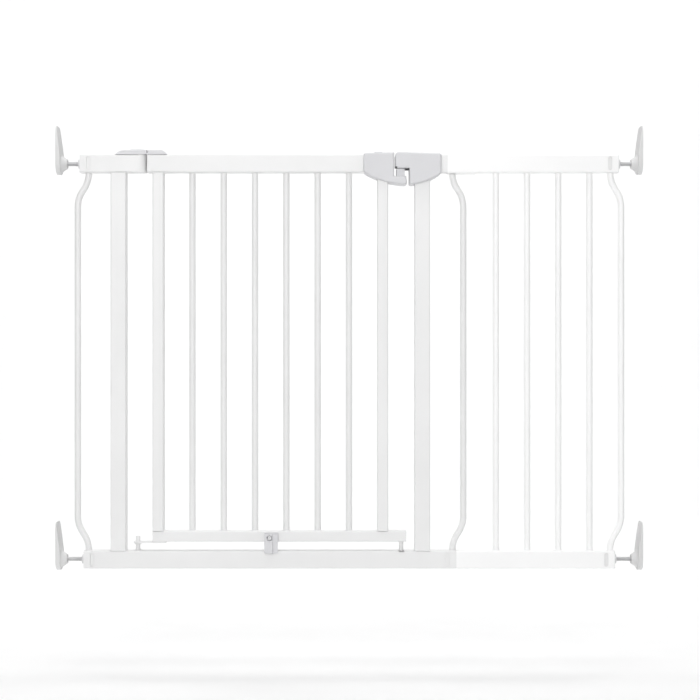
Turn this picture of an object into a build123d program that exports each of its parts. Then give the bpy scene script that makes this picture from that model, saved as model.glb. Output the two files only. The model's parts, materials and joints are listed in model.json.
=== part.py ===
"""Pressure-fit safety baby gate: a U-frame with a swinging door, a side extension and four wall spindles.

Frame: +X along the gate, +Y away from the side the door opens to, +Z up.  The origin is midway between
the two wall faces, on the tubes' middle plane, level with the lowest edge of the lower wall cups.
"""
from build123d import *
import math
import os

os.makedirs("parts", exist_ok=True)

# ---- driving dimensions, mm ---------------------------------------------------------------------
wall_x = 531.0              # wall face, each side of the middle
rail_height = 32.0
rail_depth = 25.0
rail_wall = 1.5
rail_corner = 2.5
floor_gap = 3.5             # underside of the bottom rail above the cups' lowest edge
frame_height = 750.0        # underside of the bottom rail to the top of the top rail

rail_end_top = 488.5        # outer ends of the top rails, each side
rail_end_bottom = 481.5
main_end_top = 201.0        # right-hand ends of the main frame's rails
main_end_bottom = 194.0

post_width = 28.0
hinge_post_x = -418.5
lock_post_x = 132.5

bar_radius = 5.8
bar_wall = 1.0
bend_height = 62.0          # height of each S-bend in the bent bars
bend_offset = 20.0
left_bent_x = -473.6
centre_bent_x = 187.4
extension_bent_x = 474.4

hinge_x = -384.0            # door axis, on the left-hand stub rail
nose_start = -382.0
nose_end = -367.0
door_left = -366.0
door_right = 70.6
stile_width = 20.0
hinge_stile_x = -346.5
latch_stile_x = 60.6
door_bar_first = -285.2
door_bar_pitch = 56.95
door_bar_count = 6
foot_left = -356.6          # the door's own bottom rail
foot_right = 103.7
foot_height = 19.5
foot_depth = 20.0
door_gap = 16.5             # from the frame's bottom rail up to the door's

extension_bar_first = 266.7
extension_bar_pitch = 56.7
extension_bar_count = 4
sleeve_start = 178.0
sleeve_end = 230.0
sleeve_wall = 1.6

slot_length = 24.8          # window in a rail end for the end plug's snap tab
slot_width = 7.4
slot_inset = 16.0
tab_play = 1.4              # how much smaller than its window the snap tab is
plug_flange = 1.5
plug_length = 34.0

pin_radius = 4.0
pin_depth = 20.0
running_gap = 0.08          # radial clearance of a turning or sliding fit
strap_gap = 0.3
strap_thickness = 3.0
strap_end = -339.0
rivets_x = (-343.8, -354.6)
rivet_radius = 2.0
cap_height = 8.0
lift = 4.0                  # how far the door lifts off its lock
catch_travel = 14.0
hood_start = 83.1           # free end of the hood over the catch
hood_under = 728.0          # lower edge of the hood's side walls
latch_end = 81.2            # free end of the door-side housing
block_top = hood_under - 0.8
spring_start = 31.6         # the catch's return spring
spring_length = 14.2
spring_coils = 7
spring_radius = 1.7
spring_wire = 0.35
spring_y = -15.1
spring_z = 744.0
lock_pin_x = 94.4
lock_pin_depth = 1.5        # how far the lock pin reaches into the bottom rail
strike_width = 9.4
strike_length = 20.0

shell_half = 20.0           # half the depth of the latch housings
shell_wall = 2.4
shell_edge = 3.2            # rounding of the housings' front and back edges
screw_radius = 1.75
screw_head_radius = 3.4
screw_length = 11.0

rod_radius = 4.0
nut_radius = 8.6
nut_thickness = 3.4
cup_radius = 19.5
tongue_corner = 10.0        # rounding of the tongue's upper corners
tongue_reach = 68.5         # tip of a wall cup's tongue above the spindle axis
socket_depth = 12.0
boss_depth = 19.0
rim_thickness = 8.5

# ---- levels that follow --------------------------------------------------------------------------
z_bottom = floor_gap + rail_height / 2
z_rail_top = floor_gap + rail_height
z_top = floor_gap + frame_height - rail_height / 2
z_under = floor_gap + frame_height - rail_height
z_crown = floor_gap + frame_height
z_foot = z_rail_top + door_gap
z_foot_top = z_foot + foot_height
z_strap = z_crown + strap_gap
half_depth = rail_depth / 2
bend_radius = (bend_offset**2 + bend_height**2) / (4 * bend_offset)
bend_angle = math.degrees(math.asin(bend_height / (2 * bend_radius)))
rising = (Align.CENTER, Align.CENTER, Align.MIN)
hanging = (Align.CENTER, Align.CENTER, Align.MAX)


def save(builder, label):
    """Name the finished sub-part and write it."""
    builder.part.label = label
    export_step(builder.part, f"parts/{label}.step")


def rail_section(depth, height):
    """Outline of a hollow rounded rectangular tube, about the sketch's current location."""
    RectangleRounded(depth, height, rail_corner)
    RectangleRounded(depth - 2 * rail_wall, height - 2 * rail_wall, rail_corner - rail_wall, mode=Mode.SUBTRACT)


def rail(x_from, x_to, z_mid, height=rail_height, depth=rail_depth):
    """Hollow tube lying along X."""
    with BuildPart() as tube:
        with BuildSketch(Plane.YZ.offset(x_from)):
            with Locations((0, z_mid)):
                rail_section(depth, height)
        extrude(amount=x_to - x_from)
    return tube


def post(x_mid, z_from, z_to, width):
    """Hollow tube standing between two rails."""
    with BuildPart() as tube:
        with BuildSketch(Plane.XY.offset(z_from)):
            with Locations((x_mid, 0)):
                rail_section(width, rail_depth)
        extrude(amount=z_to - z_from)
    return tube


def bar_section(x_mid):
    """Ring of a round tube's wall."""
    with Locations((x_mid, 0)):
        Circle(bar_radius)
        Circle(bar_radius - bar_wall, mode=Mode.SUBTRACT)


def upright_bars(first_x, pitch, count, z_from, z_to):
    """A row of round tubes standing between two rails."""
    with BuildPart() as bars:
        with BuildSketch(Plane.XY.offset(z_from)):
            for index in range(count):
                bar_section(first_x + index * pitch)
        extrude(amount=z_to - z_from)
    return bars


def bent_bar(x_foot, bulge):
    """Round tube from rail to rail that steps sideways by an S-bend near each end; bulge is +1 or -1."""
    with BuildPart() as bar:
        with BuildLine(Plane.XZ) as route:
            out = JernArc((x_foot, z_rail_top), (0, 1), bend_radius, -bulge * bend_angle)
            back = JernArc(out @ 1, out % 1, bend_radius, bulge * bend_angle)
            run = Line(back @ 1, (x_foot + bulge * bend_offset, z_under - bend_height))
            home = JernArc(run @ 1, (0, 1), bend_radius, bulge * bend_angle)
            JernArc(home @ 1, home % 1, bend_radius, -bulge * bend_angle)
        with BuildSketch(Plane.XY.offset(z_rail_top)):
            bar_section(x_foot)
        sweep(path=route.line)
    return bar


def cut_front_slot(x_mid, z_mid):
    """Upright window through a rail's front wall."""
    with BuildSketch(Plane.XZ.offset(half_depth + 1)) as window:
        with Locations((x_mid, z_mid)):
            SlotOverall(slot_length, slot_width, rotation=90)
    extrude(window.sketch, amount=-rail_wall - 2, mode=Mode.SUBTRACT)


def cut_rear_hole(x, z):
    """Screw hole through a rail's rear wall."""
    with Locations((x, half_depth, z)):
        Cylinder(screw_radius + running_gap, 3 * rail_wall, rotation=(90, 0, 0), mode=Mode.SUBTRACT)


# ---- main frame ----------------------------------------------------------------------------------
lock_screws_at = [(lock_post_x + 24, z_top), (lock_post_x, z_under - 8)]
latch_screws_at = [(31.0, z_top - 8.5), (latch_stile_x, z_under - 8)]
sleeve_screws_at = [(main_end_top - 11, z_top), (main_end_top + 15, z_top)]

tube = rail(-rail_end_bottom + plug_flange, main_end_bottom, z_bottom)
with BuildPart() as bottom_rail:
    add(tube.part)
    cut_front_slot(-rail_end_bottom + slot_inset, z_bottom)
    cut_front_slot(main_end_bottom - slot_inset, z_bottom)
    with Locations((hinge_x, 0, z_rail_top)):
        Cylinder(pin_radius + 3, 4 * rail_wall, mode=Mode.SUBTRACT)
    with Locations((lock_pin_x, half_depth - 4, z_rail_top + 1)):
        Box(strike_width + 3.2, strike_length, 9, align=(Align.CENTER, Align.MAX, Align.MAX), mode=Mode.SUBTRACT)
    with Locations((lock_pin_x, -half_depth, z_rail_top + 1)):
        Box(strike_width + 3.2, 6, 6.5, align=(Align.CENTER, Align.CENTER, Align.MAX), mode=Mode.SUBTRACT)
save(bottom_rail, "bottom_rail")

tube = rail(-rail_end_top + plug_flange, nose_start, z_top)
with BuildPart() as left_top_rail:
    add(tube.part)
    cut_front_slot(-rail_end_top + slot_inset, z_top)
    with Locations((hinge_x, 0, z_crown)):
        Cylinder(pin_radius + 3, 4 * rail_wall, mode=Mode.SUBTRACT)
save(left_top_rail, "left_top_rail")

tube = rail(lock_post_x - post_width / 2, main_end_top, z_top)
with BuildPart() as right_top_rail:
    add(tube.part)
    cut_rear_hole(*lock_screws_at[0])
    cut_rear_hole(*sleeve_screws_at[0])
save(right_top_rail, "right_top_rail")

save(post(hinge_post_x, z_rail_top, z_under, post_width), "hinge_post")

tube = post(lock_post_x, z_rail_top, z_under, post_width)
with BuildPart() as lock_post:
    add(tube.part)
    cut_rear_hole(*lock_screws_at[1])
save(lock_post, "lock_post")

save(bent_bar(left_bent_x, -1), "left_bent_bar")
save(bent_bar(centre_bent_x, 1), "centre_bent_bar")

# Rounded end of the stub rail, with the bearing for the upper hinge pin.
with BuildPart() as hinge_nose:
    with BuildSketch(Plane.XY.offset(z_under)):
        with Locations((nose_start, 0)):
            Ellipse(nose_end - nose_start, half_depth)
        with Locations((nose_start, 0)):
            Rectangle(2 * rail_height, rail_depth, align=(Align.MAX, Align.CENTER), mode=Mode.SUBTRACT)
    extrude(amount=rail_height)
    with BuildSketch(Plane.YZ.offset(nose_start)):
        with Locations((0, z_top)):
            RectangleRounded(rail_depth - 2 * rail_wall - 0.4, rail_height - 2 * rail_wall - 0.4, 1.0)
    extrude(amount=-20)
    with Locations((hinge_x, 0, z_crown)):
        Cylinder(pin_radius + 2.8, 4 * rail_wall, align=hanging)
        Cylinder(pin_radius + running_gap, pin_depth, align=hanging, mode=Mode.SUBTRACT)
save(hinge_nose, "hinge_nose")

# Flanged bush in the bottom rail that carries the lower hinge pin.
with BuildPart() as lower_pin_bush:
    with Locations((hinge_x, 0, z_rail_top)):
        Cylinder(pin_radius + 2.8, pin_depth + 2, align=hanging)
        Cylinder(pin_radius + 4.5, 0.8, align=rising)
    with Locations((hinge_x, 0, z_rail_top + 2)):
        Cylinder(pin_radius + running_gap, pin_depth + 2, align=hanging, mode=Mode.SUBTRACT)
save(lower_pin_bush, "lower_pin_bush")

# Lower strike: an insert in the rail's top with a groove open to the side the door swings to.
with BuildPart() as lower_strike:
    with Locations((lock_pin_x, half_depth - 4, z_rail_top)):
        Box(strike_width + 3, strike_length - 0.4, 7.8, align=(Align.CENTER, Align.MAX, Align.MAX))
    with Locations((lock_pin_x, half_depth - 4, z_rail_top)):
        Box(strike_width + 3, strike_length + 0.5, 5.2, align=(Align.CENTER, Align.MAX, Align.MAX))
    with BuildSketch(Plane.XY.offset(z_rail_top + 1)):
        with Locations((lock_pin_x, 0)):
            Circle(strike_width / 2)
        with Locations((lock_pin_x, -rail_depth / 2)):
            Rectangle(strike_width, rail_depth)
    extrude(amount=-lock_pin_depth - 2, mode=Mode.SUBTRACT)
save(lower_strike, "lower_strike")


# ---- latch housings ------------------------------------------------------------------------------
def round_corner(sketch, corner, radius):
    """Round the outline's vertex nearest to the given corner."""
    fillet(sketch.vertices().sort_by_distance(corner)[0], radius)


def lock_outline():
    """Side view of the frame-side housing: a hood over the catch and a body round the lock post."""
    with BuildLine() as profile:
        upper = Polyline((108.6, 698.6), (108.6, hood_under), (hood_start, hood_under), (hood_start, 757.8),
                         (166.6, 755.0), (166.6, 719.8))
        ThreePointArc(upper @ 1, (139.6, 705.4), upper @ 0)
    return make_face(profile.edges())


def latch_outline():
    """Side view of the door-side housing: a grip round the latch stile with a lip under the catch."""
    with BuildLine() as profile:
        upper = Polyline((25.2, 722.0), (26.2, 755.8), (latch_end, 756.9), (latch_end, 714.2), (102.6, 714.2),
                         (105.4, 699.0))
        ThreePointArc(upper @ 1, (66.0, 704.4), upper @ 0)
    return make_face(profile.edges())


lock_corners = [((hood_start, 757.8), 7), ((166.6, 755.0), 4), ((166.6, 719.8), 5), ((108.6, 698.6), 3)]
latch_corners = [((26.2, 755.8), 4), ((25.2, 722.0), 9), ((105.4, 699.0), 4)]


def housing(outline, corners):
    """Hollow shell of the given outline, rounded along its front and back edges."""
    with BuildPart() as shell:
        with BuildSketch(Plane.XZ) as side:
            outline()
            for corner, radius in corners:
                round_corner(side, corner, radius)
        extrude(amount=shell_half, both=True)
        fillet(shell.faces().filter_by(Axis.Y).edges(), shell_edge)
        with BuildSketch(Plane.XZ):
            add(side.sketch)
            offset(amount=-shell_wall, mode=Mode.REPLACE)
        extrude(amount=shell_half - shell_wall, both=True, mode=Mode.SUBTRACT)
    return shell


def halve(shell, side, label):
    """Front or rear half of a housing, divided on the tubes' middle plane."""
    with BuildPart() as half:
        add(shell.part)
        with Locations((80, 0, z_top)):
            Box(200, 2 * shell_half, 200, align=(Align.CENTER, side, Align.CENTER), mode=Mode.INTERSECT)
    save(half, label)


def screw_row(places, y_face, head_depth, label):
    """Countersunk screws that run forward from the rear face into the tube behind it."""
    with BuildPart() as row:
        for x, z in places:
            face = Plane((x, y_face, z), x_dir=(1, 0, 0), z_dir=(0, 1, 0))
            with BuildSketch(face.offset(-screw_length)):
                Circle(screw_radius)
            extrude(amount=screw_length - 1)
            with BuildSketch(face.offset(-0.2)):
                Circle(screw_head_radius)
            extrude(amount=-head_depth, taper=38)
            with Locations(face.offset(-0.2)):
                Box(4.0, 0.9, 1.2, mode=Mode.SUBTRACT)
                Box(0.9, 4.0, 1.2, mode=Mode.SUBTRACT)
    save(row, label)


def cut_countersinks(places, y_face):
    """Countersunk holes through a rear wall."""
    for x, z in places:
        face = Plane((x, y_face, z), x_dir=(1, 0, 0), z_dir=(0, 1, 0))
        with BuildSketch(face.offset(-8)) as shank:
            Circle(screw_radius + running_gap)
        extrude(shank.sketch, amount=8.5, mode=Mode.SUBTRACT)
        with BuildSketch(face.offset(0.1)) as sink:
            Circle(screw_head_radius + 0.4)
        extrude(sink.sketch, amount=-2.6, taper=38, mode=Mode.SUBTRACT)


passage = 0.2               # play round the tubes that run through a housing
shell = housing(lock_outline, lock_corners)
with BuildPart() as lock_housing:
    add(shell.part)
    with Locations((lock_post_x - post_width / 2 - passage, 0, z_top)):
        Box(60, rail_depth + 2 * passage, rail_height + 2 * passage, align=(Align.MIN, Align.CENTER, Align.CENTER),
            mode=Mode.SUBTRACT)
    with Locations((lock_post_x, 0, z_under)):
        Box(post_width + 2 * passage, rail_depth + 2 * passage, 60, mode=Mode.SUBTRACT)
    with Locations((96.5, 0, 722)):
        Box(24.2, 2 * (shell_half - shell_wall), 10, align=rising, mode=Mode.SUBTRACT)
    with Locations((hood_start + 3.7, 0, hood_under - 4)):
        Box(8, 2 * shell_half, lift + 3.6, align=(Align.MAX, Align.CENTER, Align.MIN), mode=Mode.SUBTRACT)
    cut_countersinks(lock_screws_at, shell_half)
halve(lock_housing, Align.MAX, "lock_housing_front")
halve(lock_housing, Align.MIN, "lock_housing_rear")
screw_row(lock_screws_at, shell_half, 2.0, "lock_housing_screws")

# ---- side extension ------------------------------------------------------------------------------
tube = rail(main_end_top + 2, rail_end_top - plug_flange, z_top)
with BuildPart() as extension_top_rail:
    add(tube.part)
    cut_front_slot(rail_end_top - slot_inset, z_top)
    cut_rear_hole(*sleeve_screws_at[1])
save(extension_top_rail, "extension_top_rail")

tube = rail(main_end_bottom, rail_end_bottom - plug_flange, z_bottom)
with BuildPart() as extension_bottom_rail:
    add(tube.part)
    cut_front_slot(rail_end_bottom - slot_inset, z_bottom)
save(extension_bottom_rail, "extension_bottom_rail")

bars = upright_bars(extension_bar_first, extension_bar_pitch, extension_bar_count, z_rail_top, z_under)
save(bars, "extension_bars")
save(bent_bar(extension_bent_x, 1), "extension_bent_bar")

# Sleeve that joins the two top rails, notched underneath for the bent bar.
with BuildPart() as coupling_sleeve:
    with BuildSketch(Plane.YZ.offset(sleeve_start)):
        with Locations((0, z_top)):
            RectangleRounded(rail_depth + 2 * sleeve_wall + 0.3, rail_height + 2 * sleeve_wall + 0.3, 3.5)
            RectangleRounded(rail_depth + 0.3, rail_height + 0.3, rail_corner, mode=Mode.SUBTRACT)
    extrude(amount=sleeve_end - sleeve_start)
    with Locations((sleeve_start + 7, 0, z_under - 1)):
        Box(18, 2 * bar_radius + 1.2, 6, mode=Mode.SUBTRACT)
    cut_countersinks(sleeve_screws_at, half_depth + sleeve_wall + 0.15)
save(coupling_sleeve, "coupling_sleeve")
screw_row(sleeve_screws_at, half_depth + sleeve_wall + 0.15, 1.4, "sleeve_screws")

# Inner tube that joins the two bottom rails, with a snap tab in the main rail's slot.
joiner_depth = rail_depth - 2 * rail_wall - 0.4
joiner_height = rail_height - 2 * rail_wall - 0.4
with BuildPart() as rail_joiner:
    with BuildSketch(Plane.YZ.offset(main_end_bottom - 30)):
        with Locations((0, z_bottom)):
            RectangleRounded(joiner_depth, joiner_height, 1.0)
            Rectangle(joiner_depth - 4, joiner_height - 4, mode=Mode.SUBTRACT)
    extrude(amount=60)
    with BuildSketch(Plane.XZ.offset(joiner_depth / 2 - 0.5)):
        with Locations((main_end_bottom - slot_inset, z_bottom)):
            SlotOverall(slot_length - tab_play, slot_width - tab_play, rotation=90)
    extrude(amount=1.1)
save(rail_joiner, "rail_joiner")


# ---- door ----------------------------------------------------------------------------------------
tube = rail(door_left, door_right, z_top)
with BuildPart() as door_top_rail:
    add(tube.part)
    with Locations(*[(x, 0, z_crown) for x in rivets_x]):
        Cylinder(rivet_radius, 4 * rail_wall, mode=Mode.SUBTRACT)
    cut_rear_hole(*latch_screws_at[0])
save(door_top_rail, "door_top_rail")

save(post(hinge_stile_x, z_foot_top, z_under, stile_width), "hinge_stile")

tube = post(latch_stile_x, z_foot_top, z_under, stile_width)
with BuildPart() as latch_stile:
    add(tube.part)
    cut_rear_hole(*latch_screws_at[1])
save(latch_stile, "latch_stile")

save(upright_bars(door_bar_first, door_bar_pitch, door_bar_count, z_foot_top, z_under), "door_bars")

stop_x = -144.0
stop_screw_z = z_foot + 7.5
tube = rail(foot_left + plug_flange, foot_right - plug_flange, z_foot + foot_height / 2, foot_height, foot_depth)
with BuildPart() as door_bottom_rail:
    add(tube.part)
    with Locations((lock_pin_x, 0, z_foot)):
        Cylinder(pin_radius, 4 * rail_wall, mode=Mode.SUBTRACT)
    with Locations((stop_x, -foot_depth / 2, stop_screw_z)):
        Cylinder(screw_radius + running_gap, 4 * rail_wall, rotation=(90, 0, 0), mode=Mode.SUBTRACT)
save(door_bottom_rail, "door_bottom_rail")

# Push-in caps that close the door's bottom rail.
with BuildPart() as foot_caps:
    for x_face, way in ((foot_left, 1), (foot_right, -1)):
        with BuildSketch(Plane.YZ.offset(x_face)):
            with Locations((0, z_foot + foot_height / 2)):
                RectangleRounded(foot_depth, foot_height, rail_corner)
        extrude(amount=way * plug_flange)
        with BuildSketch(Plane.YZ.offset(x_face)):
            with Locations((0, z_foot + foot_height / 2)):
                RectangleRounded(foot_depth - 2 * rail_wall - 0.4, foot_height - 2 * rail_wall - 0.4, 1.0)
        extrude(amount=way * (plug_flange + 2))
save(foot_caps, "foot_caps")

with BuildPart() as lock_pin:
    with Locations((lock_pin_x, 0, z_rail_top - lock_pin_depth)):
        Cylinder(pin_radius, door_gap + lock_pin_depth + 6, align=rising)
    fillet(lock_pin.faces().sort_by(Axis.Z)[0].edges(), 1.5)
    with Locations((lock_pin_x, 0, z_foot)):
        Cylinder(pin_radius + 1.8, 1.2, align=hanging)
save(lock_pin, "lock_pin")

# Steel strap from the door's top rail over to the upper hinge pin.
strap_width = 19.0
with BuildPart() as hinge_strap:
    with BuildSketch(Plane.XY.offset(z_strap)):
        with Locations((hinge_x, 0)):
            Circle(strap_width / 2)
        with Locations(((hinge_x + strap_end) / 2, 0)):
            Rectangle(strap_end - hinge_x, strap_width)
    extrude(amount=strap_thickness)
    with Locations(((door_left + 4 + strap_end) / 2, 0, z_crown)):
        Box(strap_end - door_left - 4, strap_width, strap_gap, align=rising)
    with Locations((hinge_x, 0, z_strap)):
        Cylinder(pin_radius + running_gap, 3 * strap_thickness, mode=Mode.SUBTRACT)
    with Locations(*[(x, 0, z_strap) for x in rivets_x]):
        Cylinder(rivet_radius, 3 * strap_thickness, mode=Mode.SUBTRACT)
save(hinge_strap, "hinge_strap")

with BuildPart() as strap_rivets:
    with Locations(*[(x, 0, z_strap + strap_thickness) for x in rivets_x]):
        Cylinder(rivet_radius, strap_thickness + strap_gap + 4, align=hanging)
        Cylinder(2 * rivet_radius, 1.4, align=rising)
save(strap_rivets, "strap_rivets")

# Flat arm under the door's bottom rail that reaches to the lower hinge pin.
arm_end = hinge_stile_x + 14
with BuildPart() as lower_hinge_arm:
    with BuildSketch(Plane.XY.offset(z_foot)):
        with Locations((hinge_x, 0)):
            Circle(8)
        with Locations(((hinge_x + arm_end) / 2, 0)):
            Rectangle(arm_end - hinge_x, 16)
    extrude(amount=-strap_thickness)
    with Locations((hinge_x, 0, z_foot)):
        Cylinder(pin_radius + running_gap, 3 * strap_thickness, mode=Mode.SUBTRACT)
save(lower_hinge_arm, "lower_hinge_arm")


# Hinge covers: one lens shape in two halves, each a thin dome over the strap.
def cover_outline(x_tip, x_cut):
    """Side view of a cover: a low arc rising from its tip to a level crown, cut square at the gap."""
    x_crown = x_tip + 0.34 * (x_cut - x_tip)
    x_rise = x_tip + 0.12 * (x_cut - x_tip)
    with BuildLine() as profile:
        rise = ThreePointArc((x_tip, z_strap), (x_rise, z_strap + 0.68 * cap_height), (x_crown, z_strap + cap_height))
        crown = Line(rise @ 1, (x_cut, z_strap + cap_height))
        drop = Line(crown @ 1, (x_cut, z_strap))
        Line(drop @ 1, rise @ 0)
    make_face(profile.edges())


def hinge_cover(x_tip, x_cut):
    """Hollow dome of the cover outline, with a passage for the strap at its cut end."""
    skin = 1.5
    with BuildPart() as cover:
        with BuildSketch(Plane.XZ) as side:
            cover_outline(x_tip, x_cut)
        extrude(amount=half_depth, both=True)
        fillet(cover.faces().filter_by(Axis.Y).edges().filter_by(lambda e: e.center().Z > z_strap + 1), 1.6)
        with BuildSketch(Plane.XZ):
            add(side.sketch)
            offset(amount=-skin, mode=Mode.REPLACE)
        extrude(amount=half_depth - skin, both=True, mode=Mode.SUBTRACT)
        with Locations((x_tip * 0.4 + x_cut * 0.6, 0, z_strap - 1)):
            Box(abs(x_cut - x_tip) * 0.74, strap_width + 1.0, skin + 2, align=rising, mode=Mode.SUBTRACT)
        with Locations((x_cut, 0, z_strap - 1)):
            Box(24, strap_width + 1.0, strap_thickness + 1.4, align=rising, mode=Mode.SUBTRACT)
    return cover


cover = hinge_cover(-424.3, nose_end)
with BuildPart() as left_hinge_cover:
    add(cover.part)
    with BuildSketch(Plane.XY.offset(z_strap + cap_height - 0.2)):
        with Locations((hinge_x - 1.5, 0)):
            SlotOverall(29, 19)
    extrude(amount=1.7)
    fillet(left_hinge_cover.faces().sort_by(Axis.Z)[-1].edges(), 0.8)
    with Locations((hinge_x, 0, z_strap)):
        Cylinder(pin_radius + 0.8, cap_height + 0.4, align=rising, mode=Mode.SUBTRACT)
save(left_hinge_cover, "left_hinge_cover")

cover = hinge_cover(-330.5, door_left + 0.2)
with BuildPart() as right_hinge_cover:
    add(cover.part)
save(right_hinge_cover, "right_hinge_cover")

# Stop bracket: hangs from the door in front of the frame's bottom rail, so the door opens one way only.
stop_front = 7.5
with BuildPart() as stop_bracket:
    with BuildSketch(Plane.XY.offset(z_rail_top - 3.0)):
        with Locations((stop_x - 1.8, -half_depth - 0.8)):
            Rectangle(15.2, stop_front, align=(Align.CENTER, Align.MAX))
        with Locations((stop_x + 5.5, -half_depth - 0.8)):
            Rectangle(9.4, stop_front - 3.2, align=(Align.MIN, Align.MAX))
    extrude(amount=34)
    with Locations((stop_x + 3.1, -half_depth - 1, z_foot + 0.5)):
        Box(24.8, 3.1, 15.0, align=(Align.CENTER, Align.MIN, Align.MIN))
    fillet(stop_bracket.edges().filter_by(Axis.Z).group_by(Axis.Y)[0], 1.2)
    with Locations((stop_x, -half_depth - 0.8 - stop_front, stop_screw_z)):
        Cylinder(5.2, 2 * 3.6, rotation=(90, 0, 0), mode=Mode.SUBTRACT)
        Cylinder(screw_radius + running_gap, 40, rotation=(90, 0, 0), mode=Mode.SUBTRACT)
save(stop_bracket, "stop_bracket")

with BuildPart() as stop_screw:
    with BuildSketch(Plane.XZ.offset(half_depth + 0.8 + stop_front - 3.6)):
        with Locations((stop_x, stop_screw_z)):
            Circle(screw_radius)
    extrude(amount=-screw_length)
    with BuildSketch(Plane.XZ.offset(half_depth + 0.8 + stop_front - 3.6)):
        with Locations((stop_x, stop_screw_z)):
            Circle(4.2)
    extrude(amount=2.4)
    fillet(stop_screw.faces().sort_by(Axis.Y)[0].edges(), 0.9)
    with Locations((stop_x, -half_depth - 0.8 - stop_front + 1.2, stop_screw_z)):
        Box(5.2, 1.8, 1.1, mode=Mode.SUBTRACT)
        Box(1.1, 1.8, 5.2, mode=Mode.SUBTRACT)
save(stop_screw, "stop_screw")

shell = housing(latch_outline, latch_corners)
with BuildPart() as latch_housing:
    add(shell.part)
    with Locations((door_right + 0.2, 0, z_top)):
        Box(80, rail_depth + 2 * passage, rail_height + 2 * passage, align=(Align.MAX, Align.CENTER, Align.CENTER),
            mode=Mode.SUBTRACT)
    with Locations((latch_stile_x, 0, z_under)):
        Box(stile_width + 2 * passage, rail_depth + 2 * passage, 60, mode=Mode.SUBTRACT)
    with Locations((92.3, 0, 722.5)):
        Box(30, 2 * (shell_half - shell_wall), 22, mode=Mode.SUBTRACT)
    with Locations((46, 0, z_crown + 2)):
        Box(29, 13.6, 8, mode=Mode.SUBTRACT)
    with Locations((49, 0, z_crown + 1.3)):
        Box(35, 2 * (shell_half - shell_wall), 3, align=(Align.CENTER, Align.CENTER, Align.MAX), mode=Mode.SUBTRACT)
    with Locations((spring_start - 0.2, spring_y, spring_z)):
        Box(6, 4.8, 8, align=(Align.MAX, Align.CENTER, Align.CENTER))
    cut_countersinks(latch_screws_at, shell_half)
halve(latch_housing, Align.MAX, "latch_housing_front")
halve(latch_housing, Align.MIN, "latch_housing_rear")
screw_row(latch_screws_at, shell_half, 2.0, "latch_housing_screws")

# Catch: side plates astride the rail carry an upright block under the hood; a thumb pad draws it back.
plate_inner = half_depth + 0.5
plate_outer = shell_half - shell_wall - 0.4
plate_thickness = plate_outer - plate_inner
with BuildPart() as latch_catch:
    for y_side in (-plate_inner, plate_outer):
        with BuildSketch(Plane.XZ.offset(-y_side)):
            with BuildLine():
                Polyline((46, 753.7), (66, 753.7), (75, 733), (79.4, 724), (79.4, 713.5), (98.5, 713.5),
                         (100.5, 704.8), (85.6, 707.0), (73, 709.8), (62, 716.5), (52, 722.5), (46, 738), close=True)
            make_face()
        extrude(amount=plate_thickness)
    with BuildSketch(Plane.XZ.offset(-plate_outer)):
        with BuildLine():
            Polyline((85.6, 707.0), (100.5, 704.8), (100.2, block_top), (85.6, block_top), close=True)
        make_face()
    extrude(amount=2 * plate_outer)
    with Locations((54, 0, z_crown + 0.2)):
        Box(14, 2 * plate_outer, 0.8, align=rising)
    with BuildSketch(Plane.XZ.offset(-shell_half)):
        with Locations((latch_stile_x + catch_travel / 2, z_under - 8)):
            SlotOverall(catch_travel + 4.2, 4.2)
    extrude(amount=shell_half, mode=Mode.SUBTRACT)
save(latch_catch, "latch_catch")

with BuildPart() as thumb_pad:
    with Locations((53, 0, z_crown + 1.0)):
        Box(14, 13, 4.6, align=rising)
    fillet(thumb_pad.faces().sort_by(Axis.Z)[-1].edges(), 0.7)
    with Locations(*[(53 + step * 2.4, 0, z_crown + 5.6) for step in (-2, -1, 0, 1, 2)]):
        Box(1.0, 11, 1.0, mode=Mode.SUBTRACT)
save(thumb_pad, "thumb_pad")

# Return spring of the catch, between the housing's rib and the front side plate's edge.
with BuildPart() as catch_spring:
    coil_length = spring_length - 2 * spring_wire
    coil_start = (spring_start + spring_wire, spring_y, spring_z)
    with BuildLine() as coil:
        Helix(coil_length / spring_coils, coil_length, spring_radius, center=coil_start, direction=(1, 0, 0))
    with BuildSketch(Plane(coil.line @ 0, z_dir=coil.line % 0)):
        Circle(spring_wire)
    sweep(path=coil.line, is_frenet=True)
save(catch_spring, "catch_spring")

# ---- hinge pins, which turn with the door and let it slide up --------------------------------------
with BuildPart() as upper_hinge_pin:
    with Locations((hinge_x, 0, z_strap + strap_thickness + 4.4)):
        Cylinder(pin_radius, pin_depth + 4, align=hanging)
    chamfer(upper_hinge_pin.faces().sort_by(Axis.Z)[-1].edges(), 0.8)
save(upper_hinge_pin, "upper_hinge_pin")

with BuildPart() as lower_hinge_pin:
    with Locations((hinge_x, 0, z_foot + 9.5)):
        Cylinder(pin_radius, door_gap + pin_depth + 6, align=hanging)
    chamfer(lower_hinge_pin.faces().sort_by(Axis.Z)[-1].edges(), 0.8)
    with Locations((hinge_x, 0, z_foot - strap_thickness - 0.3)):
        Cylinder(pin_radius + 2.2, 1.6, align=hanging)
save(lower_hinge_pin, "lower_hinge_pin")


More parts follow.
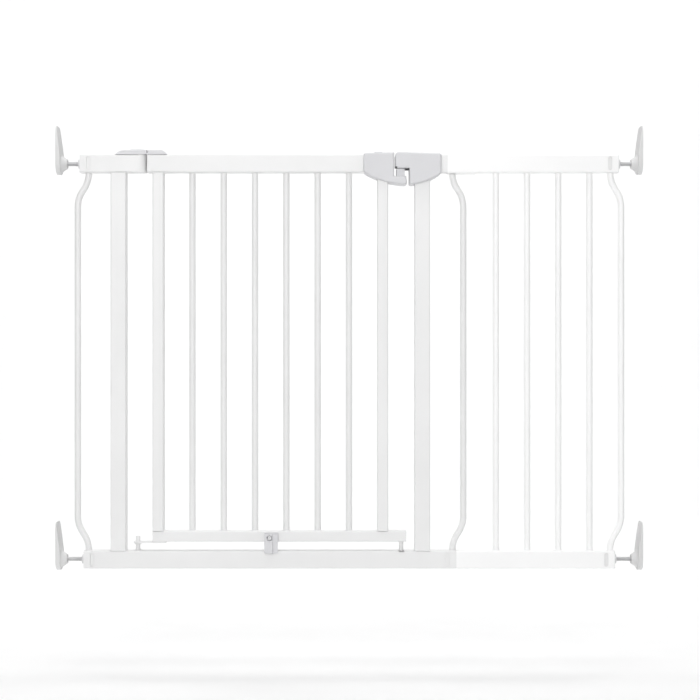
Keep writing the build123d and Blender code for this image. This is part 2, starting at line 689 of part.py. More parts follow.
# ---- wall spindles -------------------------------------------------------------------------------
def end_plug(side, x_end, z_axis, label):
    """Plug in a rail's end: guides the spindle, carries the nut and snaps into the rail's slot."""
    with BuildPart() as plug:
        with BuildSketch(Plane.YZ.offset(side * x_end)):
            with Locations((0, z_axis)):
                RectangleRounded(rail_depth, rail_height, rail_corner)
        extrude(amount=-side * plug_flange)
        with BuildSketch(Plane.YZ.offset(side * (x_end - plug_flange))):
            with Locations((0, z_axis)):
                RectangleRounded(rail_depth - 2 * rail_wall - 0.4, rail_height - 2 * rail_wall - 0.4, 1.0)
        extrude(amount=-side * (plug_length - plug_flange))
        with BuildSketch(Plane.XZ.offset(half_depth - rail_wall - 1)):
            with Locations((side * (x_end - slot_inset), z_axis)):
                SlotOverall(slot_length - tab_play, slot_width - tab_play, rotation=90)
        extrude(amount=1.4)
        with Locations((side * x_end, 0, z_axis)):
            Cylinder(rod_radius + 0.1, 3 * plug_length, rotation=(0, 90, 0), mode=Mode.SUBTRACT)
    save(plug, label)


def spindle(side, x_end, z_axis, label):
    """Threaded rod from the wall cup's socket into the rail; its thread is plain."""
    x_outer = wall_x - boss_depth + socket_depth - 0.5
    x_inner = x_end - 52
    with BuildPart() as rod:
        with BuildSketch(Plane.YZ.offset(side * x_inner)):
            with Locations((0, z_axis)):
                Circle(rod_radius)
        extrude(amount=side * (x_outer - x_inner))
        chamfer(rod.faces().filter_by(Axis.X).edges(), 0.7)
    save(rod, label)


def adjusting_nut(side, x_end, z_axis, label):
    """Round nut with a notched rim that bears on the rail's end."""
    x_face = side * (x_end + 0.2)
    with BuildPart() as nut:
        with BuildSketch(Plane.YZ.offset(x_face)):
            with Locations((0, z_axis)):
                Circle(nut_radius)
                with PolarLocations(nut_radius + 0.5, 12):
                    Circle(1.1, mode=Mode.SUBTRACT)
                Circle(rod_radius + running_gap, mode=Mode.SUBTRACT)
        extrude(amount=side * nut_thickness)
    save(nut, label)


def cup_face(side, z_axis):
    """Side view of a wall cup: flat on the wall, a thin tongue tip thickening down to the rim."""
    with BuildLine() as profile:
        base = Line((side * wall_x, z_axis - cup_radius - 1), (side * wall_x, z_axis + tongue_reach + 1))
        tip = Line(base @ 1, (side * (wall_x - 1.5), z_axis + tongue_reach + 1))
        face = Spline(tip @ 1, (side * (wall_x - 3.4), z_axis + 54), (side * (wall_x - 6.2), z_axis + 36),
                      (side * (wall_x - rim_thickness), z_axis + 17))
        rim = Line(face @ 1, (side * (wall_x - rim_thickness), z_axis - cup_radius - 1))
        Line(rim @ 1, base @ 0)
    make_face(profile.edges())


def wall_cup(side, z_axis, label):
    """Wall cup: round base with a long upright tongue, and a boss that holds the spindle's end."""
    with BuildPart() as cup:
        with BuildSketch(Plane.XZ):
            cup_face(side, z_axis)
        extrude(amount=cup_radius, both=True)
        with BuildSketch(Plane.YZ.offset(side * (wall_x - 20))) as outline:
            with Locations((0, z_axis + tongue_reach / 2)):
                Rectangle(2 * cup_radius, tongue_reach)
            fillet(outline.vertices().group_by(Axis.Y)[-1], tongue_corner)
            with Locations((0, z_axis)):
                Circle(cup_radius)
        extrude(amount=side * 30, mode=Mode.INTERSECT)
        with BuildSketch(Plane.YZ.offset(side * (wall_x - rim_thickness + 0.5))):
            with Locations((0, z_axis)):
                Circle(cup_radius - 1.5)
        with BuildSketch(Plane.YZ.offset(side * (wall_x - boss_depth))):
            with Locations((0, z_axis)):
                Circle(8.5)
        loft()
        with Locations((side * (wall_x - boss_depth), 0, z_axis)):
            Cylinder(rod_radius + running_gap, 2 * socket_depth, rotation=(0, 90, 0), mode=Mode.SUBTRACT)
            Cylinder(2.25, 4 * boss_depth, rotation=(0, 90, 0), mode=Mode.SUBTRACT)
    save(cup, label)


for side, side_name in ((-1, "left"), (1, "right")):
    for x_end, z_axis, level in ((rail_end_bottom, z_bottom, "lower"), (rail_end_top, z_top, "upper")):
        place = f"{level}_{side_name}"
        end_plug(side, x_end, z_axis, f"{place}_end_plug")
        spindle(side, x_end, z_axis, f"{place}_spindle")
        adjusting_nut(side, x_end, z_axis, f"{place}_nut")
        wall_cup(side, z_axis, f"{place}_wall_cup")
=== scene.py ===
# %% [markdown]
# A safety gate in cells
# The gate's moving design comes in as a fixed frame: every tube, housing and pin already has its
# real size and place.  This file gives each of them a finish, and makes the pieces whose
# surfaces are too fine for the design model: threads, notched nuts, moulded wall cups, weld beads.

# %% Load the frame
import json
import math

import bmesh
import bpy
import numpy as np
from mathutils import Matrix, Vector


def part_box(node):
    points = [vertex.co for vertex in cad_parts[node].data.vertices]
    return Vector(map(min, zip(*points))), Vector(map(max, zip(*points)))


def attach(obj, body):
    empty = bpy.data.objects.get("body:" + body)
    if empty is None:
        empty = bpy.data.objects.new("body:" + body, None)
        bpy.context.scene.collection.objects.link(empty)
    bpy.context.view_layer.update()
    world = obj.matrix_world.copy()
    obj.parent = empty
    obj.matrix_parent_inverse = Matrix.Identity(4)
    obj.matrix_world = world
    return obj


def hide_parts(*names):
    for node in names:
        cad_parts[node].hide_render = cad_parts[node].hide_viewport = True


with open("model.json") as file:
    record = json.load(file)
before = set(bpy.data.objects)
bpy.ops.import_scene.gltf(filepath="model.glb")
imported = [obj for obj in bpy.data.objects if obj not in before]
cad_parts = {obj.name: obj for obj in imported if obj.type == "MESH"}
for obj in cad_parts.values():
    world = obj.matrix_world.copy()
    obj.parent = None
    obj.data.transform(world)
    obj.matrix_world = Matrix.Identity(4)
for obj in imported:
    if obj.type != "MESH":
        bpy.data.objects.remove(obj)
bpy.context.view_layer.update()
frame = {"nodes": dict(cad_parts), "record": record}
record = frame["record"]

# %% [markdown]
# Measures
# All places are read from the frame, so a piece can't drift from the part it belongs to.  A box
# gives a node's lowest and highest corner; from those come a rod's axis or a tube's middle.

# %% Read places from the frame
MM = 0.001


def corners(node):
    """Lowest and highest corner of a design node, as two arrays."""
    low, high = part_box(node)
    return np.array(low), np.array(high)


def middle(node):
    """Centre of a node's box."""
    low, high = corners(node)
    return (low + high) / 2


def mesh_points(node):
    """All points of a design node's mesh, one row each."""
    mesh = frame["nodes"][node].data
    flat = np.zeros(len(mesh.vertices) * 3)
    mesh.vertices.foreach_get("co", flat)
    return flat.reshape(-1, 3)


rail_top = corners("bottom_rail")[1][2]
rail_under = corners("door_top_rail")[0][2]
print("bottom rail's top", rail_top, "top rail's underside", rail_under)

# %% [markdown]
# From a grid of points to a mesh
# Most pieces here are one surface with two parameters, sampled on a grid of points.  Neighbouring
# points make four-sided faces; where a parameter runs round a loop, the last row joins the first.
# Working on whole arrays keeps this fast, and one helper then serves every piece.

# %% Mesh helper
def grid_faces(rows, columns, first=0, close_rows=True, close_columns=True):
    """Quads between neighbouring points of a grid stored row by row: point (row, column) is number
    first + row * columns + column, and closing joins the last row or column to the first."""
    r = np.arange(rows if close_rows else rows - 1)
    c = np.arange(columns if close_columns else columns - 1)
    r, c = (a.ravel() for a in np.meshgrid(r, c, indexing="ij"))
    r_next, c_next = (r + 1) % rows, (c + 1) % columns
    return first + np.stack([r * columns + c, r_next * columns + c,
                             r_next * columns + c_next, r * columns + c_next], axis=1)


def make_piece(name, points, faces, body, slot, replaces=()):
    """Smooth mesh object on its body: doubles merged, faces turned outwards, finish put on."""
    mesh = bpy.data.meshes.new(name)
    mesh.from_pydata(np.asarray(points, float).tolist(), [], np.asarray(faces).tolist())
    work = bmesh.new()
    work.from_mesh(mesh)
    bmesh.ops.remove_doubles(work, verts=work.verts, dist=1e-7)
    bmesh.ops.dissolve_degenerate(work, edges=work.edges, dist=1e-8)
    bmesh.ops.recalc_face_normals(work, faces=work.faces)
    if work.calc_volume(signed=True) < 0:
        bmesh.ops.reverse_faces(work, faces=work.faces)
    work.to_mesh(mesh)
    work.free()
    piece = bpy.data.objects.new(name, mesh)
    bpy.context.scene.collection.objects.link(piece)
    mesh.polygons.foreach_set("use_smooth", np.full(len(mesh.polygons), True))
    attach(piece, body)
    if replaces:
        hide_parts(*replaces)
    piece.data.materials.append(finishes[slot])
    print(name, len(mesh.polygons), "faces")
    return piece


# %% [markdown]
# Finishes
# A finish is a small network of nodes: the base colour is broken up by a slow noise, as a batch of
# paint is; the roughness has its own noise; and a bump carries the fine texture.  The same recipe
# with different sizes gives powder coat, spark-eroded plastic or zinc, so it is one function.  The
# extension takes the same white paint made a little whiter: painted light, standing in for the
# extension looking more brightly lit than the main gate.

# %% Finish helper
def link(owner, out_node, out_name, in_node, in_name):
    """Join one node's output to another's input, in the node tree of a material or the world."""
    owner.node_tree.links.new(out_node.outputs[out_name], in_node.inputs[in_name])


def noise(material, scale, detail):
    """Noise on Object coordinates; scale is how many spots lie along a metre."""
    nodes = material.node_tree.nodes
    place = nodes.new("ShaderNodeTexCoord")
    texture = nodes.new("ShaderNodeTexNoise")
    texture.inputs["Scale"].default_value = scale
    texture.inputs["Detail"].default_value = detail
    link(material, place, "Object", texture, "Vector")
    return texture


def ramp(material, texture, low, high):
    """Colour ramp that turns a noise into a run between two colours."""
    node = material.node_tree.nodes.new("ShaderNodeValToRGB")
    node.color_ramp.elements[0].position = 0.3
    node.color_ramp.elements[1].position = 0.7
    node.color_ramp.elements[0].color = (*low, 1)
    node.color_ramp.elements[1].color = (*high, 1)
    link(material, texture, "Fac", node, "Fac")
    return node


def make_finish(name, low, high, roughness, grain, bump, metallic=0.0, specular=0.5):
    """Principled finish: the colour runs from low to high and the roughness over its range, each
    with its own noise; grain is the bump's noise scale, and bump its strength and height."""
    material = bpy.data.materials.new(name)
    material.use_nodes = True
    shader = material.node_tree.nodes["Principled BSDF"]
    shader.inputs["Metallic"].default_value = metallic
    shader.inputs["Specular IOR Level"].default_value = specular
    colour = ramp(material, noise(material, scale=9.0, detail=4.0), low, high)
    link(material, colour, "Color", shader, "Base Color")
    spread = material.node_tree.nodes.new("ShaderNodeMapRange")
    spread.inputs["To Min"].default_value = roughness[0]
    spread.inputs["To Max"].default_value = roughness[1]
    link(material, noise(material, scale=45.0, detail=3.0), "Fac", spread, "Value")
    link(material, spread, "Result", shader, "Roughness")
    relief = material.node_tree.nodes.new("ShaderNodeBump")
    relief.inputs["Strength"].default_value = bump[0]
    relief.inputs["Distance"].default_value = bump[1]
    link(material, noise(material, scale=grain, detail=2.0), "Fac", relief, "Height")
    link(material, relief, "Normal", shader, "Normal")
    return material


finishes = {
    "white_paint": make_finish("white_paint", (0.785, 0.785, 0.785), (0.82, 0.82, 0.82),
                               (0.34, 0.46), 420, (0.25, 0.00025)),
    # extension_paint is white_paint made whiter: painted light for the extension's brighter look, not a
    # different paint
    "extension_paint": make_finish("extension_paint", (0.91, 0.91, 0.91), (0.95, 0.95, 0.95),
                                   (0.30, 0.42), 420, (0.25, 0.00025)),
    "housing_plastic": make_finish("housing_plastic", (0.645, 0.645, 0.663), (0.685, 0.685, 0.703),
                                   (0.42, 0.55), 1900, (0.35, 0.00012)),
    "white_plastic": make_finish("white_plastic", (0.78, 0.78, 0.78), (0.82, 0.82, 0.82),
                                 (0.38, 0.5), 1700, (0.3, 0.00012)),
    "grey_plastic": make_finish("grey_plastic", (0.60, 0.60, 0.62), (0.66, 0.66, 0.68),
                                (0.5, 0.62), 1900, (0.4, 0.00015)),
    "nut_plastic": make_finish("nut_plastic", (0.66, 0.66, 0.67), (0.72, 0.72, 0.73),
                               (0.4, 0.5), 1900, (0.3, 0.0001)),
    "soft_cup": make_finish("soft_cup", (0.66, 0.66, 0.66), (0.73, 0.73, 0.73),
                            (0.5, 0.64), 1500, (0.4, 0.00015)),
    "zinc_steel": make_finish("zinc_steel", (0.56, 0.56, 0.57), (0.70, 0.70, 0.70),
                              (0.26, 0.42), 600, (0.2, 0.00008), metallic=1.0),
}
print("finishes", len(finishes))

# %% [markdown]
# Finishes on the design's own nodes
# The record says which finish each node takes.  A node keeps its mesh: only the material in its
# slots changes, so the sizes stay exactly as designed.

# %% Dress the design nodes
for part in record["subparts"]:
    shown = frame["nodes"][part["node"]]
    shown.data.materials.clear()
    shown.data.materials.append(finishes[part["material_slot"]])
print("dressed", len(record["subparts"]))

# %% [markdown]
# Threaded rods
# A wall spindle is a rod with a coarse thread.  A thread is one ridge wound round the rod, so its
# height depends on a single number: how far along the pitch a point is, after taking off the part
# of the pitch that its angle has already used.  A bump map would vanish at the rod's outline, so
# the ridge is real geometry.

# %% Threaded rod
ROD_TURN = 36               # points round the rod
PITCH_STEPS = 9             # rings of points along one pitch
THREAD_PITCH = 1.25 * MM
THREAD_DEPTH = 0.62 * MM
END_CHAMFER = 1.2 * MM
CREST, FLANK = 1.35, 4.0    # the ridge's flat top and the steepness of its sides
ROD_BORE = 4.08 * MM        # what turns or slides on the rod: rod radius plus running gap
PLACES = [("lower", "left", -1), ("lower", "right", 1), ("upper", "left", -1), ("upper", "right", 1)]


def rod_points(start, end, y, z, radius, side):
    """Rod along X: its radius is the outer radius less the thread's depth where there is no ridge.
    The ridge lies where the fraction left of (x / pitch - angle / full turn) is near a half, and it
    fades over the chamfer's length at each end; side is the hand of the winding, 1 or -1."""
    length = end - start
    samples = int(length / THREAD_PITCH) * PITCH_STEPS
    along = np.concatenate([[0, 0], np.linspace(0, length, samples), [length, length]])
    angle = np.linspace(0, 2 * np.pi, ROD_TURN, endpoint=False)
    x, a = np.meshgrid(along, angle, indexing="ij")
    phase = (x / THREAD_PITCH - side * a / (2 * np.pi)) % 1.0
    ridge = np.clip(CREST - np.abs(phase - 0.5) * FLANK, 0.0, 1.0)
    ease = np.clip(np.minimum(x, length - x) / END_CHAMFER, 0, 1)
    r = radius - THREAD_DEPTH * (1 - ridge * ease)
    r[0], r[-1] = 0.0, 0.0
    return np.stack([start + x, y + r * np.cos(a), z + r * np.sin(a)], axis=-1)


for level, hand, side in PLACES:
    node = f"{level}_{hand}_spindle"
    low, high = corners(node)
    _, y, z = middle(node)
    points = rod_points(low[0], high[0], y, z, (high[2] - low[2]) / 2, side)
    faces = grid_faces(*points.shape[:2], close_rows=False)
    make_piece(f"{level}_{hand}_threaded_rod", points.reshape(-1, 3), faces, node, "zinc_steel", [node])

# %% [markdown]
# Adjusting nuts
# The nut is a ring that a hand turns, so its rim is a row of scallops.  A ring is a closed profile
# carried round an axis; the scallops come from letting the outer radius dip as the angle turns,
# and the dip fades towards the bore so that the bore stays round.

# %% Notched nut
SCALLOPS = 12
SCALLOP_STEPS = 14          # points round each scallop
SCALLOP_DEPTH = 0.9 * MM
NUT_EDGE = 0.7 * MM         # rounding of the rim
NUT_HOLLOW = 0.16           # how far the faces sink between bore and rim, over half the width


def nut_points(x_low, x_high, y, z, outer, bore):
    """Ring about X: a rectangular profile with a rounded rim and faces hollowed by a half sine.  The
    rim dips by the scallop depth times (a half plus half the cosine of scallops * angle) cubed,
    fading with the fourth power of the way from bore to rim."""
    edge = NUT_EDGE
    t = np.linspace(0, np.pi / 2, 6)
    half = (x_high - x_low) / 2
    out_r = [outer - edge + edge * np.sin(t), outer - edge + edge * np.cos(t)]
    out_x = [-half + edge * (1 - np.cos(t)), half - edge * (1 - np.sin(t))]
    face = np.linspace(0, 1, 8)
    profile_r = np.concatenate([bore + (outer - edge - bore) * face[:-1], out_r[0], out_r[1],
                                outer - edge + (bore - outer + edge) * face[1:]])
    profile_x = np.concatenate([np.full(7, -half), out_x[0], out_x[1], np.full(7, half)])
    hub = np.clip((profile_r - bore) / (outer - bore), 0, 1)
    profile_x = profile_x * (1 - NUT_HOLLOW * np.sin(np.pi * np.clip(hub * 1.15, 0, 1)))
    angle = np.linspace(0, 2 * np.pi, SCALLOPS * SCALLOP_STEPS, endpoint=False)
    r, a = np.meshgrid(profile_r, angle, indexing="ij")
    x, _ = np.meshgrid(profile_x, angle, indexing="ij")
    h, _ = np.meshgrid(hub, angle, indexing="ij")
    r = r - SCALLOP_DEPTH * (0.5 + 0.5 * np.cos(SCALLOPS * a)) ** 3 * h ** 4
    return np.stack([(x_low + x_high) / 2 + x, y + r * np.cos(a), z + r * np.sin(a)], axis=-1)


for level, hand, _ in PLACES:
    node = f"{level}_{hand}_nut"
    low, high = corners(node)
    _, y, z = middle(node)
    points = nut_points(low[0], high[0], y, z, (high[2] - low[2]) / 2, ROD_BORE)
    make_piece(f"{level}_{hand}_hand_nut", points.reshape(-1, 3), grid_faces(*points.shape[:2]), node,
               "nut_plastic", [node])

# %% [markdown]
# Wall cups
# A wall cup is one moulding: a flat base that spreads the load on the wall, a long tongue that
# thins to its tip, and a boss that holds the rod.  Seen from the rod it is a height over a plane,
# so it can be drawn in polar form about the rod's axis: each direction has its own reach to the
# outline, and the profile from the rod's socket over the boss, down the face, round the edge and
# back along the wall is carried round that axis.

# %% Wall cup
CUP_TURN = 144              # points round the rod's axis
SCREW_HOLE = 2.25 * MM
BOSS_RADIUS = 8.4 * MM
BOSS_EDGE = 0.8 * MM        # rounding of the boss's rim, and of its foot where it meets the face
BORE_EDGE = 0.4 * MM
SOCKET_DEPTH = 12 * MM
WALL_EDGE = 0.6 * MM        # rounding on the wall side
FACE_EDGE = 1.3 * MM        # rounding on the open side, less where the tongue is thin
FACE_DISH = 0.5 * MM        # how far the face sinks between rim and boss
CONE_INSET = 1.2 * MM       # from the cup's side in to the foot of the boss's cone
PLATE = 8.4 * MM            # thickness at and below the rod
CONE_SINK = 0.6 * MM


def cup_reach(angle, radius, tongue, power=7):
    """Distance from the axis to the edge: a half circle below, and above it a superellipse whose
    half axes are the radius and the tongue's reach, so the sides run straight to rounded corners."""
    across = np.abs(np.cos(angle)) / radius
    up = np.clip(np.sin(angle), 0, None) / tongue
    above = (across ** power + up ** power) ** (-1 / power)
    return np.where(np.sin(angle) <= 0, radius, above)


def face_height(z):
    """Thickness over the wall at height z above the axis, thinning smoothly up the tongue."""
    knots = np.array([-30.0, 16.0, 36.5, 56.5, 69.0]) * MM
    values = np.array([8.4, 8.4, 6.0, 3.2, 1.7]) * MM
    return np.interp(z, knots, values)


def cone_base(plate):
    """Height at which the boss's cone starts, a little under the plate's face."""
    return np.minimum(plate, PLATE) - CONE_SINK


def smooth_max(a, b, soft):
    """Larger of two heights; where they differ by less than soft, it rises by a quarter of soft
    times the square of how much less."""
    gap = np.clip(soft - np.abs(a - b), 0, None) / soft
    return np.maximum(a, b) + gap ** 2 * soft / 4


def cup_points(wall_x, side, z_axis, radius, tongue, boss, socket):
    """Closed profile round the rod's axis, stretched to the outline's reach in every direction: out
    along the wall, round the edge, in over the face and up the boss's cone, then down the socket.
    The cone's height falls from the boss to the face with the power 1.55 of the way out."""
    angle = np.linspace(0, 2 * np.pi, CUP_TURN, endpoint=False)
    reach = cup_reach(angle, radius, tongue)
    rings_r, rings_x = [], []

    def ring(r, x):
        rings_r.append(np.broadcast_to(r, angle.shape))
        rings_x.append(np.broadcast_to(x, angle.shape))

    ring(SCREW_HOLE, 0.0)
    for step in np.linspace(0.25, 1, 4):
        ring(SCREW_HOLE + (reach - WALL_EDGE - SCREW_HOLE) * step, 0.0)
    for turn in np.linspace(0.3, 1, 3) * np.pi / 2:
        ring(reach - WALL_EDGE * (1 - math.sin(turn)), WALL_EDGE * (1 - math.cos(turn)))
    edge_top = face_height(reach * np.sin(angle))
    soft = np.minimum(FACE_EDGE, edge_top * 0.45)
    for turn in np.linspace(0, 1, 7) * np.pi / 2:
        ring(reach - soft * (1 - math.cos(turn)), edge_top - soft * (1 - math.sin(turn)))
    inner, foot = reach - soft, radius - CONE_INSET
    for step in np.linspace(0, 1, 34)[1:]:
        r = inner + (BOSS_RADIUS - inner) * step
        plate = face_height(r * np.sin(angle))
        dish = FACE_DISH * np.sin(np.pi * step) ** 2
        slope = np.clip((foot - r) / (foot - BOSS_RADIUS), 0, 1)
        cone = cone_base(plate) + (boss - cone_base(plate)) * slope ** 1.55
        ring(r, np.where(r < radius, smooth_max(plate - dish, cone, BOSS_EDGE), plate - dish))
    for turn in np.linspace(0.2, 1, 4) * np.pi / 2:
        ring(BOSS_RADIUS - BOSS_EDGE * math.sin(turn), boss)
    ring(ROD_BORE + BORE_EDGE, boss)
    ring(ROD_BORE, boss - BORE_EDGE)
    ring(ROD_BORE, boss - socket)
    ring(SCREW_HOLE, boss - socket)
    r, x = np.array(rings_r), np.array(rings_x)
    a = np.broadcast_to(angle, r.shape)
    return np.stack([wall_x - side * x, r * np.cos(a), z_axis + r * np.sin(a)], axis=-1)


for level, hand, side in PLACES:
    node = f"{level}_{hand}_wall_cup"
    low, high = corners(node)
    radius = (high[1] - low[1]) / 2
    z_axis = low[2] + radius
    wall = high[0] if side > 0 else low[0]
    points = cup_points(wall, side, z_axis, radius, high[2] - z_axis, high[0] - low[0], SOCKET_DEPTH)
    make_piece(f"{level}_{hand}_moulded_cup", points.reshape(-1, 3), grid_faces(*points.shape[:2]),
               f"{level}_{hand}_cup", "soft_cup", [node])

# %% [markdown]
# Weld beads
# The bars are welded to the rails and then painted over, which leaves a small hollow fillet round
# each end.  A fillet is a curved three-sided profile carried along the bar's outline, a circle for
# a bar and a rounded rectangle for a post.  All the beads of one finish on one body are one mesh.
# The latch stile has none: its upper end is hidden in the latch housing, where the catch slides.

# %% Weld beads
BAR = 5.8 * MM
POST_HALF, STILE_HALF = 14 * MM, 10 * MM
TUBE_HALF_DEPTH = 12.5 * MM
TUBE_CORNER = 2.5 * MM
BEAD = 1.3 * MM             # reach of a bead, along the rail and up the tube
BEAD_SUNK = 0.1 * MM        # how far it goes into the tube and the rail
RIPPLE, RIPPLES = 0.10, 7   # size and number of the waves round each bead
PHASE_STEP = 1.7            # turns each bead's waves on from the last one's
BAR_GAP = 15 * MM           # a wider gap between a mesh's points means another bar


def bead_points(path, normal, z, up, size, ripple_phase):
    """Hollow profile carried along a closed path: at angle t of a quarter circle it stands
    size * (1 - sine t) out from the tube and size * (1 - cosine t) up from the rail, both
    swelling and shrinking a little along the path with a sine."""
    t = np.linspace(0, np.pi / 2, 6)
    out = np.concatenate([size * (1 - np.sin(t)), [-BEAD_SUNK, -BEAD_SUNK]])
    rise = np.concatenate([size * (1 - np.cos(t)), [size, -BEAD_SUNK]])
    wave = 1 + RIPPLE * np.sin(np.arange(len(path)) * 2 * np.pi * RIPPLES / len(path) + ripple_phase)
    off = out[:, None] * wave[None, :]
    lift = rise[:, None] * wave[None, :]
    xy = path[None, :, :] + off[..., None] * normal[None, :, :]
    return np.concatenate([xy, (z + up * lift)[..., None]], axis=-1)


def circle_path(x, y, radius, count=40):
    """Points and outward normals of a circle."""
    a = np.linspace(0, 2 * np.pi, count, endpoint=False)
    normal = np.stack([np.cos(a), np.sin(a)], axis=1)
    return np.array([x, y]) + radius * normal, normal


def box_path(x, y, half_x, half_y, corner, count=10):
    """Points and outward normals of a rounded rectangle: a quarter circle about each inner corner."""
    a = (np.arange(4)[:, None] * np.pi / 2 + np.linspace(0, np.pi / 2, count)[None, :]).ravel()
    normal = np.stack([np.cos(a), np.sin(a)], axis=1)
    quarter = np.repeat(np.array([[1, 1], [-1, 1], [-1, -1], [1, -1]]), count, axis=0)
    centre = quarter * np.array([half_x - corner, half_y - corner])
    return np.array([x, y]) + centre + corner * normal, normal


def loose_islands(node):
    """Middle in X of each separate bar in a node, found from the gaps between its points' X values."""
    x = np.unique(np.round(mesh_points(node)[:, 0], 5))
    groups = np.split(x, np.where(np.diff(x) > BAR_GAP)[0] + 1)
    return [(group.min() + group.max()) / 2 for group in groups]


def foot_middle(node, z):
    """Middle in X of a bent bar where it meets the rail at height z."""
    points = mesh_points(node)
    near = points[np.abs(points[:, 2] - z) < 0.5 * MM]
    return (near[:, 0].min() + near[:, 0].max()) / 2


def bead_set(name, body, slot, ends):
    """Every bead of one body as one mesh; each end is (kind, x, half width, z, up)."""
    points, faces, first = [], [], 0
    for index, (kind, x, half, z, up) in enumerate(ends):
        if kind == "bar":
            path, normal = circle_path(x, 0.0, half)
        else:
            path, normal = box_path(x, 0.0, half, TUBE_HALF_DEPTH, TUBE_CORNER)
        ring = bead_points(path, normal, z, up, BEAD, index * PHASE_STEP)
        points.append(ring.reshape(-1, 3))
        faces.append(grid_faces(*ring.shape[:2], first=first))
        first += len(points[-1])
    make_piece(name, np.concatenate(points), np.concatenate(faces), body, slot)


def both_ends(kind, x, half, z_foot):
    """A tube's two ends: the lower one on a rail's top, the upper one under the top rail."""
    return [(kind, x, half, z_foot, 1), (kind, x, half, rail_under, -1)]


door_foot_top = corners("door_bottom_rail")[1][2]
frame_ends, extension_ends, door_ends = [], [], []
for node in ("hinge_post", "lock_post"):
    frame_ends += both_ends("post", middle(node)[0], POST_HALF, rail_top)
for node, group in (("left_bent_bar", frame_ends), ("centre_bent_bar", frame_ends),
                    ("extension_bent_bar", extension_ends)):
    group += [("bar", foot_middle(node, rail_top), BAR, rail_top, 1),
              ("bar", foot_middle(node, rail_under), BAR, rail_under, -1)]
for x in loose_islands("extension_bars"):
    extension_ends += both_ends("bar", x, BAR, rail_top)
for x in loose_islands("door_bars"):
    door_ends += both_ends("bar", x, BAR, door_foot_top)
door_ends += [("post", middle("hinge_stile")[0], STILE_HALF, rail_under, -1)]
bead_set("frame_weld_beads", "frame", "white_paint", frame_ends)
# the extension's beads take its whiter paint, which is painted light
bead_set("extension_weld_beads", "frame", "extension_paint", extension_ends)
bead_set("door_weld_beads", "door", "white_paint", door_ends)

# %% [markdown]
# Floor and backdrop
# A studio sweep is one sheet: flat under the object, then curved up behind it, so that no line
# shows where floor turns to wall.  The gate is held between two walls and doesn't stand, so the
# floor lies well below it and takes only a faint shadow.

# %% Sweep
def sweep_points(width, front, back, height, bend, floor):
    """Profile of floor, quarter circle and wall, carried along X: at angle t of the bend, y is
    back - bend + bend * sine t and z is floor + bend * (1 - cosine t)."""
    t = np.linspace(0, np.pi / 2, 24)
    y = np.concatenate([[front], np.linspace(front, back - bend, 8)[1:],
                        back - bend + bend * np.sin(t), [back]])
    z = floor + np.concatenate([[0.0], np.zeros(7), bend * (1 - np.cos(t)), [height]])
    x = np.linspace(-width, width, 3)
    return np.stack([np.broadcast_to(x[:, None], (3, len(y))), np.broadcast_to(y, (3, len(y))),
                     np.broadcast_to(z, (3, len(y)))], axis=-1)


sheet = sweep_points(width=9.0, front=-5.0, back=4.5, height=6.0, bend=2.0, floor=-0.18)
sweep_mesh = bpy.data.meshes.new("studio_sweep")
sweep_mesh.from_pydata(sheet.reshape(-1, 3).tolist(), [],
                       grid_faces(*sheet.shape[:2], close_rows=False, close_columns=False).tolist())
sweep_mesh.polygons.foreach_set("use_smooth", np.full(len(sweep_mesh.polygons), True))
sweep = bpy.data.objects.new("studio_sweep", sweep_mesh)
bpy.context.scene.collection.objects.link(sweep)
sweep.data.materials.append(make_finish("paper", (0.93, 0.93, 0.93), (0.95, 0.95, 0.95),
                                        (0.85, 0.95), 300, (0.05, 0.0001), specular=0.1))
print("sweep", len(sweep_mesh.polygons), "faces")
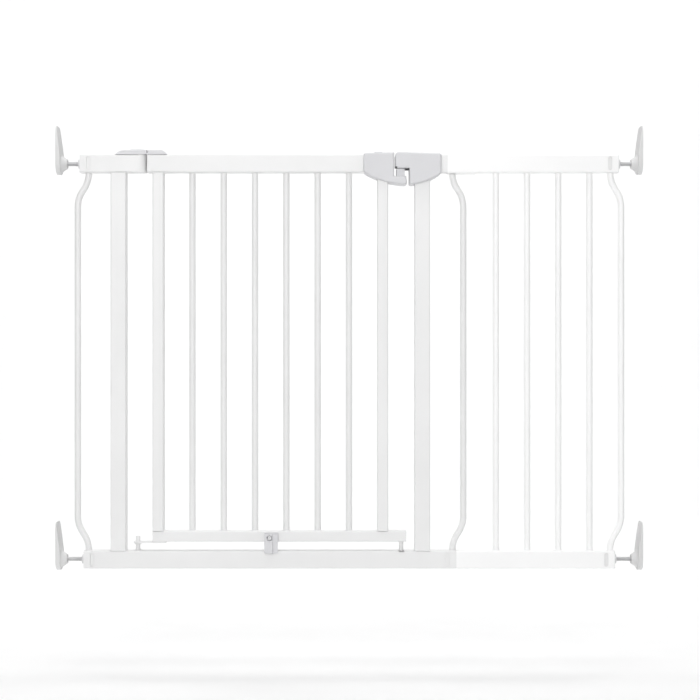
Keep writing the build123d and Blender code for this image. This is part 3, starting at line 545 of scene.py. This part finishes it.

# %% [markdown]
# Light
# White tubes before a white backdrop need dark edges to be seen.  The sky is therefore white only
# in the middle and dark to both sides: a tube's face stays bright while its rounded sides mirror
# the dark, a little more of it on the left.  A key lamp in front and one overhead light the faces
# and the rails' tops; two wash lamps stand behind the gate and are aimed at the backdrop.

# %% Lights
SKY_STRENGTH = 0.54
SKY_SIDES = (0.02, 0.15)            # grey at the far left and the far right
SKY_WHITE = (0.40, 0.62)            # from left to right, the part of the sky that is white
LIGHTS = {                          # place, aim, size and power
    "key": ((-0.5, -3.6, 1.7), (0, 0, 0.4), 2.2, 60),
    "overhead": ((0, -0.3, 3.4), (0, 0.3, 0), 2.4, 44),
    "wash_left": ((-2.2, 1.4, 3.4), (-0.8, 4.4, 1.0), 2.0, 50),
    "wash_right": ((2.2, 1.4, 3.4), (0.8, 4.4, 1.0), 2.0, 50),
}
world = bpy.data.worlds.new("soft_studio")
world.use_nodes = True
sky = world.node_tree.nodes["Background"]
sky.inputs["Strength"].default_value = SKY_STRENGTH
direction = world.node_tree.nodes.new("ShaderNodeTexCoord")
split = world.node_tree.nodes.new("ShaderNodeSeparateXYZ")
across = world.node_tree.nodes.new("ShaderNodeMapRange")
across.inputs["From Min"].default_value = -1.0
shade = world.node_tree.nodes.new("ShaderNodeValToRGB")
for stop, grey in zip(shade.color_ramp.elements, SKY_SIDES):
    stop.color = (grey, grey, grey, 1)
for place in SKY_WHITE:
    shade.color_ramp.elements.new(place).color = (1, 1, 1, 1)
for out_node, out_name, in_node, in_name in (
        (direction, "Generated", split, "Vector"), (split, "X", across, "Value"),
        (across, "Result", shade, "Fac"), (shade, "Color", sky, "Color")):
    link(world, out_node, out_name, in_node, in_name)
bpy.context.scene.world = world
bpy.context.scene.view_settings.view_transform = "Standard"


def area_light(name, place, aim, size, power):
    """Square area light at a place, tilted and then turned about Z to face an aim point."""
    data = bpy.data.lights.new(name, "AREA")
    data.size = size
    data.energy = power
    lamp = bpy.data.objects.new(name, data)
    lamp.location = place
    way = np.array(aim) - np.array(place)
    tilt = math.atan2(math.hypot(way[0], way[1]), -way[2])
    turn = math.atan2(way[1], way[0]) - math.pi / 2
    lamp.rotation_euler = (tilt, 0, turn)
    bpy.context.scene.collection.objects.link(lamp)


for name, (place, aim, size, power) in LIGHTS.items():
    area_light(name, place, aim, size, power)
print("lights", len(LIGHTS))

# %% [markdown]
# Camera
# The gate is seen square on, from a little over two and a half metres, with the lens level at half
# its height: verticals stay vertical and only the tubes' inner sides show.

# %% Camera
camera_data = bpy.data.cameras.new("camera")
camera_data.lens = 73.5
camera_data.sensor_width = 36.0
camera = bpy.data.objects.new("camera", camera_data)
camera.location = (0.0014, -2.6, 0.3995)
camera.rotation_euler = (math.pi / 2, 0, 0)
bpy.context.scene.collection.objects.link(camera)
bpy.context.scene.camera = camera
print("camera", tuple(camera.location))
